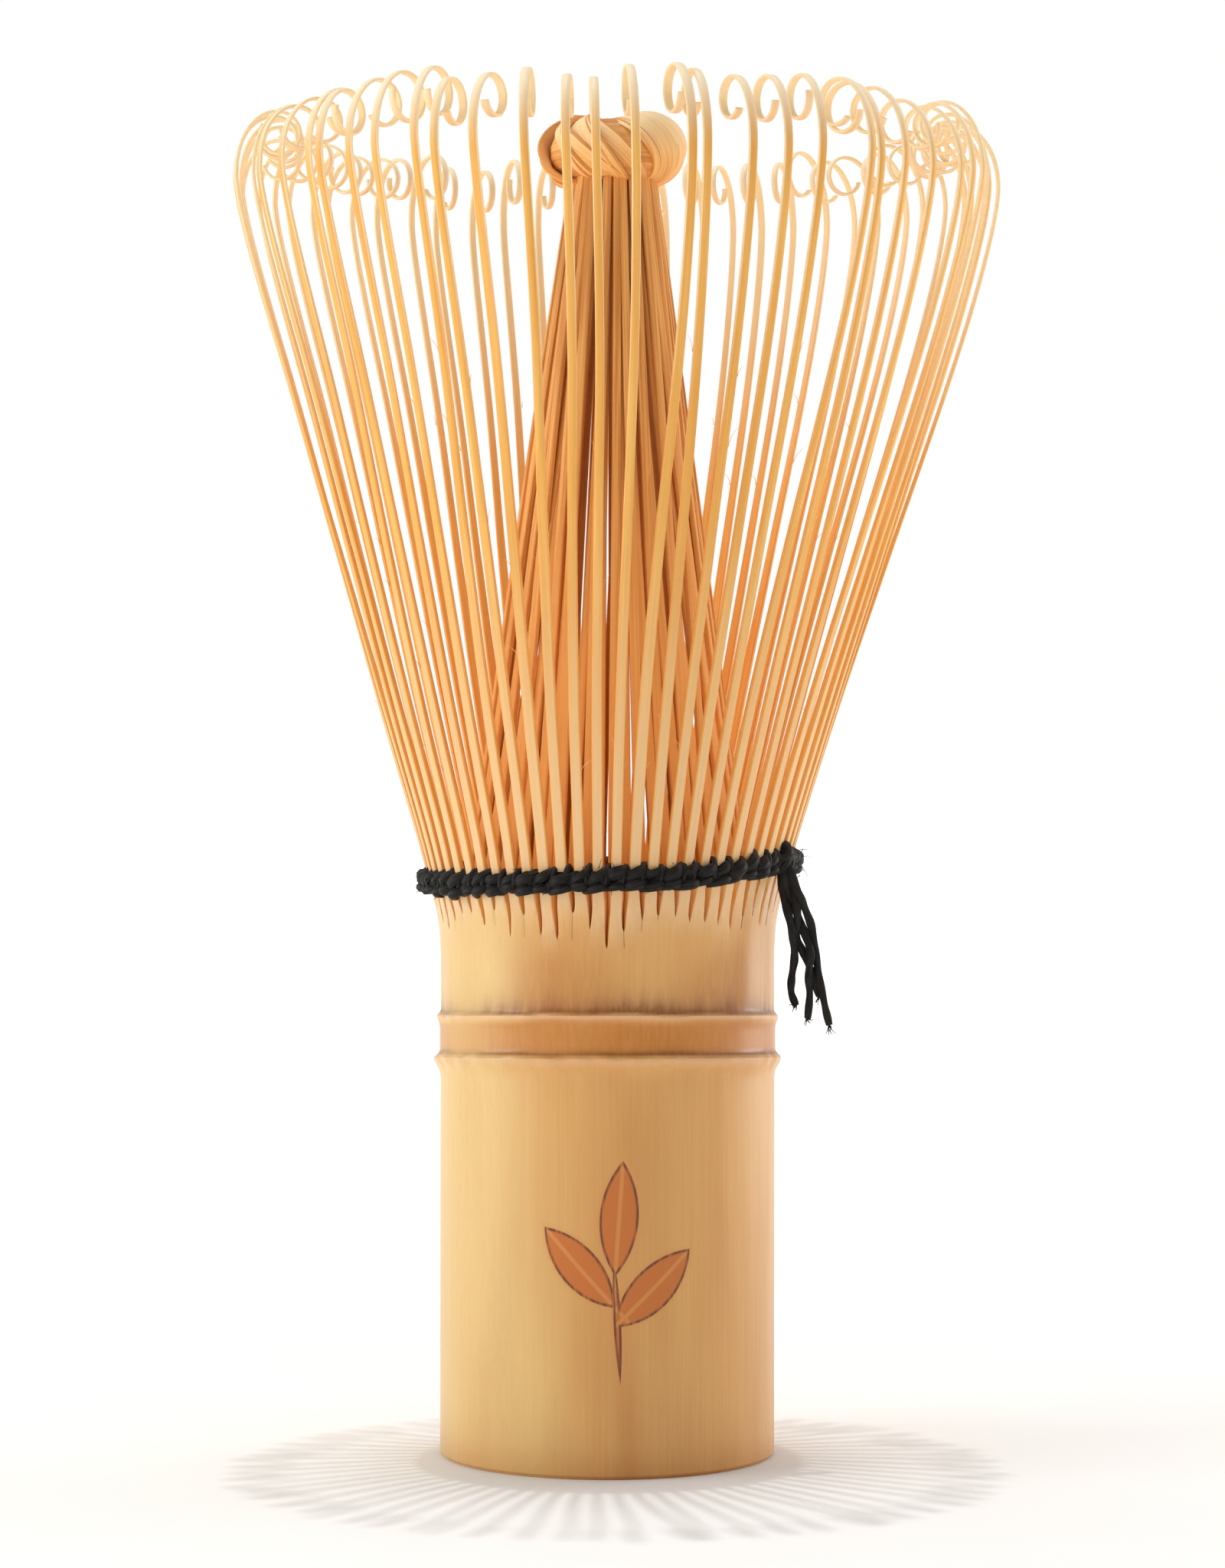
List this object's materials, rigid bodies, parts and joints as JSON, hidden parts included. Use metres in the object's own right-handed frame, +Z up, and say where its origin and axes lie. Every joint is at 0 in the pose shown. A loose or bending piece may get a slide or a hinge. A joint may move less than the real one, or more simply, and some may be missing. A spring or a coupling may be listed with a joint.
{
  "type": "bamboo tea whisk",
  "caption": "Bamboo matcha whisk (chasen): culm handle with its node, a flared ring of curled springy outer tines, an inner cone of tines ending in a knot, black thread at the tines' feet.",
  "frame": {"origin": "centre of the handle's open bottom rim, on the surface that the whisk stands on", "axes": "+Z up the handle to the crown; -Y is the side with the branded motif; the thread's knot and tail are at +X, turned 24 degrees towards -Y"},
  "size_m": [0.059, 0.059, 0.104],
  "materials": {
    "bamboo_skin": "satin, dried pale bamboo skin",
    "bamboo_pith": "matt bamboo inner wall",
    "outer_tine_wood": "satin bamboo skin, shaved thin",
    "inner_tine_wood": "matt bamboo inner wood",
    "black_thread": "matt cotton thread"
  },
  "bodies": {
    "split_culm": {"culm_handle": "bamboo_skin", "node_diaphragm": "bamboo_pith", "inner_tine_group_01": "inner_tine_wood", "inner_tine_group_02": "inner_tine_wood", "inner_tine_group_03": "inner_tine_wood", "inner_tine_group_04": "inner_tine_wood", "inner_tine_group_05": "inner_tine_wood", "inner_tine_group_06": "inner_tine_wood", "inner_tine_group_07": "inner_tine_wood", "inner_tine_group_08": "inner_tine_wood", "inner_tine_group_09": "inner_tine_wood", "inner_tine_group_10": "inner_tine_wood", "inner_tine_group_11": "inner_tine_wood", "inner_tine_group_12": "inner_tine_wood", "inner_tine_group_13": "inner_tine_wood", "inner_tine_group_14": "inner_tine_wood", "inner_tine_group_15": "inner_tine_wood", "inner_tine_group_16": "inner_tine_wood", "centre_knot": "inner_tine_wood", "thread_lower_round": "black_thread", "thread_upper_round": "black_thread", "thread_knot": "black_thread", "thread_tail_1": "black_thread", "thread_tail_2": "black_thread", "thread_tail_3": "black_thread"},
    "outer_tines_01": {"outer_tine_pair_01": "outer_tine_wood"},
    "outer_tines_02": {"outer_tine_pair_02": "outer_tine_wood"},
    "outer_tines_03": {"outer_tine_pair_03": "outer_tine_wood"},
    "outer_tines_04": {"outer_tine_pair_04": "outer_tine_wood"},
    "outer_tines_05": {"outer_tine_pair_05": "outer_tine_wood"},
    "outer_tines_06": {"outer_tine_pair_06": "outer_tine_wood"},
    "outer_tines_07": {"outer_tine_pair_07": "outer_tine_wood"},
    "outer_tines_08": {"outer_tine_pair_08": "outer_tine_wood"},
    "outer_tines_09": {"outer_tine_pair_09": "outer_tine_wood"},
    "outer_tines_10": {"outer_tine_pair_10": "outer_tine_wood"},
    "outer_tines_11": {"outer_tine_pair_11": "outer_tine_wood"},
    "outer_tines_12": {"outer_tine_pair_12": "outer_tine_wood"},
    "outer_tines_13": {"outer_tine_pair_13": "outer_tine_wood"},
    "outer_tines_14": {"outer_tine_pair_14": "outer_tine_wood"},
    "outer_tines_15": {"outer_tine_pair_15": "outer_tine_wood"},
    "outer_tines_16": {"outer_tine_pair_16": "outer_tine_wood"},
    "outer_tines_17": {"outer_tine_pair_17": "outer_tine_wood"},
    "outer_tines_18": {"outer_tine_pair_18": "outer_tine_wood"},
    "outer_tines_19": {"outer_tine_pair_19": "outer_tine_wood"},
    "outer_tines_20": {"outer_tine_pair_20": "outer_tine_wood"},
    "outer_tines_21": {"outer_tine_pair_21": "outer_tine_wood"},
    "outer_tines_22": {"outer_tine_pair_22": "outer_tine_wood"},
    "outer_tines_23": {"outer_tine_pair_23": "outer_tine_wood"},
    "outer_tines_24": {"outer_tine_pair_24": "outer_tine_wood"},
    "outer_tines_25": {"outer_tine_pair_25": "outer_tine_wood"},
    "outer_tines_26": {"outer_tine_pair_26": "outer_tine_wood"},
    "outer_tines_27": {"outer_tine_pair_27": "outer_tine_wood"},
    "outer_tines_28": {"outer_tine_pair_28": "outer_tine_wood"},
    "outer_tines_29": {"outer_tine_pair_29": "outer_tine_wood"},
    "outer_tines_30": {"outer_tine_pair_30": "outer_tine_wood"},
    "outer_tines_31": {"outer_tine_pair_31": "outer_tine_wood"},
    "outer_tines_32": {"outer_tine_pair_32": "outer_tine_wood"}
  },
  "joints": [
    {"name": "tine_flex_01", "type": "hinge", "parent": "split_culm", "child": "outer_tines_01", "pos_m": [0.01449, 0.00143, 0.0479], "axis": [-0.098, 0.9952, 0], "range_deg": [-7, 6], "stiffness_Nm_per_rad": 0.0043},
    {"name": "tine_flex_02", "type": "hinge", "parent": "split_culm", "child": "outer_tines_02", "pos_m": [0.01393, 0.00423, 0.0479], "axis": [-0.2903, 0.9569, 0], "range_deg": [-7, 6], "stiffness_Nm_per_rad": 0.0043},
    {"name": "tine_flex_03", "type": "hinge", "parent": "split_culm", "child": "outer_tines_03", "pos_m": [0.01284, 0.00686, 0.0479], "axis": [-0.4714, 0.8819, 0], "range_deg": [-7, 6], "stiffness_Nm_per_rad": 0.0043},
    {"name": "tine_flex_04", "type": "hinge", "parent": "split_culm", "child": "outer_tines_04", "pos_m": [0.01126, 0.00924, 0.0479], "axis": [-0.6344, 0.773, 0], "range_deg": [-7, 6], "stiffness_Nm_per_rad": 0.0043},
    {"name": "tine_flex_05", "type": "hinge", "parent": "split_culm", "child": "outer_tines_05", "pos_m": [0.00924, 0.01126, 0.0479], "axis": [-0.773, 0.6344, 0], "range_deg": [-7, 6], "stiffness_Nm_per_rad": 0.0043},
    {"name": "tine_flex_06", "type": "hinge", "parent": "split_culm", "child": "outer_tines_06", "pos_m": [0.00686, 0.01284, 0.0479], "axis": [-0.8819, 0.4714, 0], "range_deg": [-7, 6], "stiffness_Nm_per_rad": 0.0043},
    {"name": "tine_flex_07", "type": "hinge", "parent": "split_culm", "child": "outer_tines_07", "pos_m": [0.00423, 0.01393, 0.0479], "axis": [-0.9569, 0.2903, 0], "range_deg": [-7, 6], "stiffness_Nm_per_rad": 0.0043},
    {"name": "tine_flex_08", "type": "hinge", "parent": "split_culm", "child": "outer_tines_08", "pos_m": [0.00143, 0.01449, 0.0479], "axis": [-0.9952, 0.098, 0], "range_deg": [-7, 6], "stiffness_Nm_per_rad": 0.0043},
    {"name": "tine_flex_09", "type": "hinge", "parent": "split_culm", "child": "outer_tines_09", "pos_m": [-0.00143, 0.01449, 0.0479], "axis": [-0.9952, -0.098, 0], "range_deg": [-7, 6], "stiffness_Nm_per_rad": 0.0043},
    {"name": "tine_flex_10", "type": "hinge", "parent": "split_culm", "child": "outer_tines_10", "pos_m": [-0.00423, 0.01393, 0.0479], "axis": [-0.9569, -0.2903, 0], "range_deg": [-7, 6], "stiffness_Nm_per_rad": 0.0043},
    {"name": "tine_flex_11", "type": "hinge", "parent": "split_culm", "child": "outer_tines_11", "pos_m": [-0.00686, 0.01284, 0.0479], "axis": [-0.8819, -0.4714, 0], "range_deg": [-7, 6], "stiffness_Nm_per_rad": 0.0043},
    {"name": "tine_flex_12", "type": "hinge", "parent": "split_culm", "child": "outer_tines_12", "pos_m": [-0.00924, 0.01126, 0.0479], "axis": [-0.773, -0.6344, 0], "range_deg": [-7, 6], "stiffness_Nm_per_rad": 0.0043},
    {"name": "tine_flex_13", "type": "hinge", "parent": "split_culm", "child": "outer_tines_13", "pos_m": [-0.01126, 0.00924, 0.0479], "axis": [-0.6344, -0.773, 0], "range_deg": [-7, 6], "stiffness_Nm_per_rad": 0.0043},
    {"name": "tine_flex_14", "type": "hinge", "parent": "split_culm", "child": "outer_tines_14", "pos_m": [-0.01284, 0.00686, 0.0479], "axis": [-0.4714, -0.8819, 0], "range_deg": [-7, 6], "stiffness_Nm_per_rad": 0.0043},
    {"name": "tine_flex_15", "type": "hinge", "parent": "split_culm", "child": "outer_tines_15", "pos_m": [-0.01393, 0.00423, 0.0479], "axis": [-0.2903, -0.9569, 0], "range_deg": [-7, 6], "stiffness_Nm_per_rad": 0.0043},
    {"name": "tine_flex_16", "type": "hinge", "parent": "split_culm", "child": "outer_tines_16", "pos_m": [-0.01449, 0.00143, 0.0479], "axis": [-0.098, -0.9952, 0], "range_deg": [-7, 6], "stiffness_Nm_per_rad": 0.0043},
    {"name": "tine_flex_17", "type": "hinge", "parent": "split_culm", "child": "outer_tines_17", "pos_m": [-0.01449, -0.00143, 0.0479], "axis": [0.098, -0.9952, 0], "range_deg": [-7, 6], "stiffness_Nm_per_rad": 0.0043},
    {"name": "tine_flex_18", "type": "hinge", "parent": "split_culm", "child": "outer_tines_18", "pos_m": [-0.01393, -0.00423, 0.0479], "axis": [0.2903, -0.9569, 0], "range_deg": [-7, 6], "stiffness_Nm_per_rad": 0.0043},
    {"name": "tine_flex_19", "type": "hinge", "parent": "split_culm", "child": "outer_tines_19", "pos_m": [-0.01284, -0.00686, 0.0479], "axis": [0.4714, -0.8819, 0], "range_deg": [-7, 6], "stiffness_Nm_per_rad": 0.0043},
    {"name": "tine_flex_20", "type": "hinge", "parent": "split_culm", "child": "outer_tines_20", "pos_m": [-0.01126, -0.00924, 0.0479], "axis": [0.6344, -0.773, 0], "range_deg": [-7, 6], "stiffness_Nm_per_rad": 0.0043},
    {"name": "tine_flex_21", "type": "hinge", "parent": "split_culm", "child": "outer_tines_21", "pos_m": [-0.00924, -0.01126, 0.0479], "axis": [0.773, -0.6344, 0], "range_deg": [-7, 6], "stiffness_Nm_per_rad": 0.0043},
    {"name": "tine_flex_22", "type": "hinge", "parent": "split_culm", "child": "outer_tines_22", "pos_m": [-0.00686, -0.01284, 0.0479], "axis": [0.8819, -0.4714, 0], "range_deg": [-7, 6], "stiffness_Nm_per_rad": 0.0043},
    {"name": "tine_flex_23", "type": "hinge", "parent": "split_culm", "child": "outer_tines_23", "pos_m": [-0.00423, -0.01393, 0.0479], "axis": [0.9569, -0.2903, 0], "range_deg": [-7, 6], "stiffness_Nm_per_rad": 0.0043},
    {"name": "tine_flex_24", "type": "hinge", "parent": "split_culm", "child": "outer_tines_24", "pos_m": [-0.00143, -0.01449, 0.0479], "axis": [0.9952, -0.098, 0], "range_deg": [-7, 6], "stiffness_Nm_per_rad": 0.0043},
    {"name": "tine_flex_25", "type": "hinge", "parent": "split_culm", "child": "outer_tines_25", "pos_m": [0.00143, -0.01449, 0.0479], "axis": [0.9952, 0.098, 0], "range_deg": [-7, 6], "stiffness_Nm_per_rad": 0.0043},
    {"name": "tine_flex_26", "type": "hinge", "parent": "split_culm", "child": "outer_tines_26", "pos_m": [0.00423, -0.01393, 0.0479], "axis": [0.9569, 0.2903, 0], "range_deg": [-7, 6], "stiffness_Nm_per_rad": 0.0043},
    {"name": "tine_flex_27", "type": "hinge", "parent": "split_culm", "child": "outer_tines_27", "pos_m": [0.00686, -0.01284, 0.0479], "axis": [0.8819, 0.4714, 0], "range_deg": [-7, 6], "stiffness_Nm_per_rad": 0.0043},
    {"name": "tine_flex_28", "type": "hinge", "parent": "split_culm", "child": "outer_tines_28", "pos_m": [0.00924, -0.01126, 0.0479], "axis": [0.773, 0.6344, 0], "range_deg": [-7, 6], "stiffness_Nm_per_rad": 0.0043},
    {"name": "tine_flex_29", "type": "hinge", "parent": "split_culm", "child": "outer_tines_29", "pos_m": [0.01126, -0.00924, 0.0479], "axis": [0.6344, 0.773, 0], "range_deg": [-7, 6], "stiffness_Nm_per_rad": 0.0043},
    {"name": "tine_flex_30", "type": "hinge", "parent": "split_culm", "child": "outer_tines_30", "pos_m": [0.01284, -0.00686, 0.0479], "axis": [0.4714, 0.8819, 0], "range_deg": [-7, 6], "stiffness_Nm_per_rad": 0.0043},
    {"name": "tine_flex_31", "type": "hinge", "parent": "split_culm", "child": "outer_tines_31", "pos_m": [0.01393, -0.00423, 0.0479], "axis": [0.2903, 0.9569, 0], "range_deg": [-7, 6], "stiffness_Nm_per_rad": 0.0043},
    {"name": "tine_flex_32", "type": "hinge", "parent": "split_culm", "child": "outer_tines_32", "pos_m": [0.01449, -0.00143, 0.0479], "axis": [0.098, 0.9952, 0], "range_deg": [-7, 6], "stiffness_Nm_per_rad": 0.0043}
  ]
}
